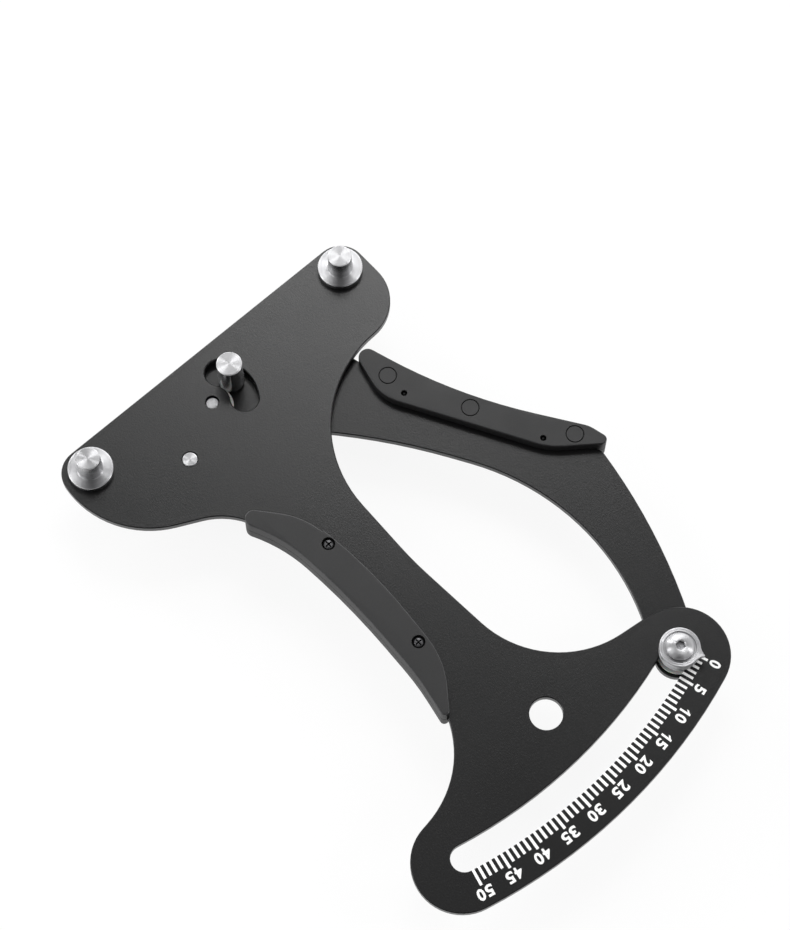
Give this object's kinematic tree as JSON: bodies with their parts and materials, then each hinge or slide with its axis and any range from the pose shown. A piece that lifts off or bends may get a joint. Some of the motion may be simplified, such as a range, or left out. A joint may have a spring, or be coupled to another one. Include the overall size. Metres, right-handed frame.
{
  "type": "spoke tension meter",
  "caption": "Hand-squeezed spoke tension meter: a body plate with fixed posts and an arc scale, and a sprung lever carrying the moving post, a grip and the pointer.",
  "frame": {"origin": "middle of the tool's footprint, at the height of its lowest point, the back of the pivot bolt's head", "axes": "+X from the left fixed post to the right one, +Y from the scale towards the posts, +Z out of the front face of the body plate"},
  "size_m": [0.1574, 0.2214, 0.0341],
  "materials": {
    "black_anodised": "satin black anodised plate",
    "black_moulding": "fine matt moulded nylon",
    "bright_steel": "turned bright stainless steel",
    "zinc_steel": "zinc plated steel",
    "spring_steel": "oiled spring wire",
    "bronze": "sintered bronze",
    "pale_nylon": "natural nylon",
    "black_oxide": "black oxide steel"
  },
  "bodies": {
    "body": {"body_plate": "black_anodised", "post_left": "bright_steel", "post_right": "bright_steel", "post_screw_left": "zinc_steel", "post_screw_right": "zinc_steel", "pivot_bolt": "zinc_steel", "pivot_washer": "pale_nylon", "spring_spool": "pale_nylon", "torsion_spring": "spring_steel", "spring_anchor_pin": "bright_steel", "grip_left_front": "black_moulding", "grip_left_back": "black_moulding", "grip_left_screw_upper": "black_oxide", "grip_left_screw_lower": "black_oxide"},
    "lever": {"lever_plate": "black_anodised", "lever_bush": "bronze", "moving_post": "bright_steel", "moving_post_screw": "zinc_steel", "lever_spring_pin": "zinc_steel", "grip_right_front": "black_moulding", "grip_right_back": "black_moulding", "grip_right_screw_upper": "black_oxide", "grip_right_screw_lower": "black_oxide", "pointer_collar": "bright_steel", "pointer_washer": "pale_nylon", "pointer": "bright_steel", "pointer_screw": "bright_steel", "pointer_nut_washer": "zinc_steel", "pointer_nut": "zinc_steel"}
  },
  "joints": [
    {"name": "lever_pivot", "type": "hinge", "parent": "body", "child": "lever", "pos_m": [-0.01595, 0.09266, 0.01651], "axis": [0, 0, -1], "range_deg": [0, 32.1], "stiffness_Nm_per_rad": 2.5, "springref_deg": -17.19, "deforming": ["torsion_spring"]}
  ]
}
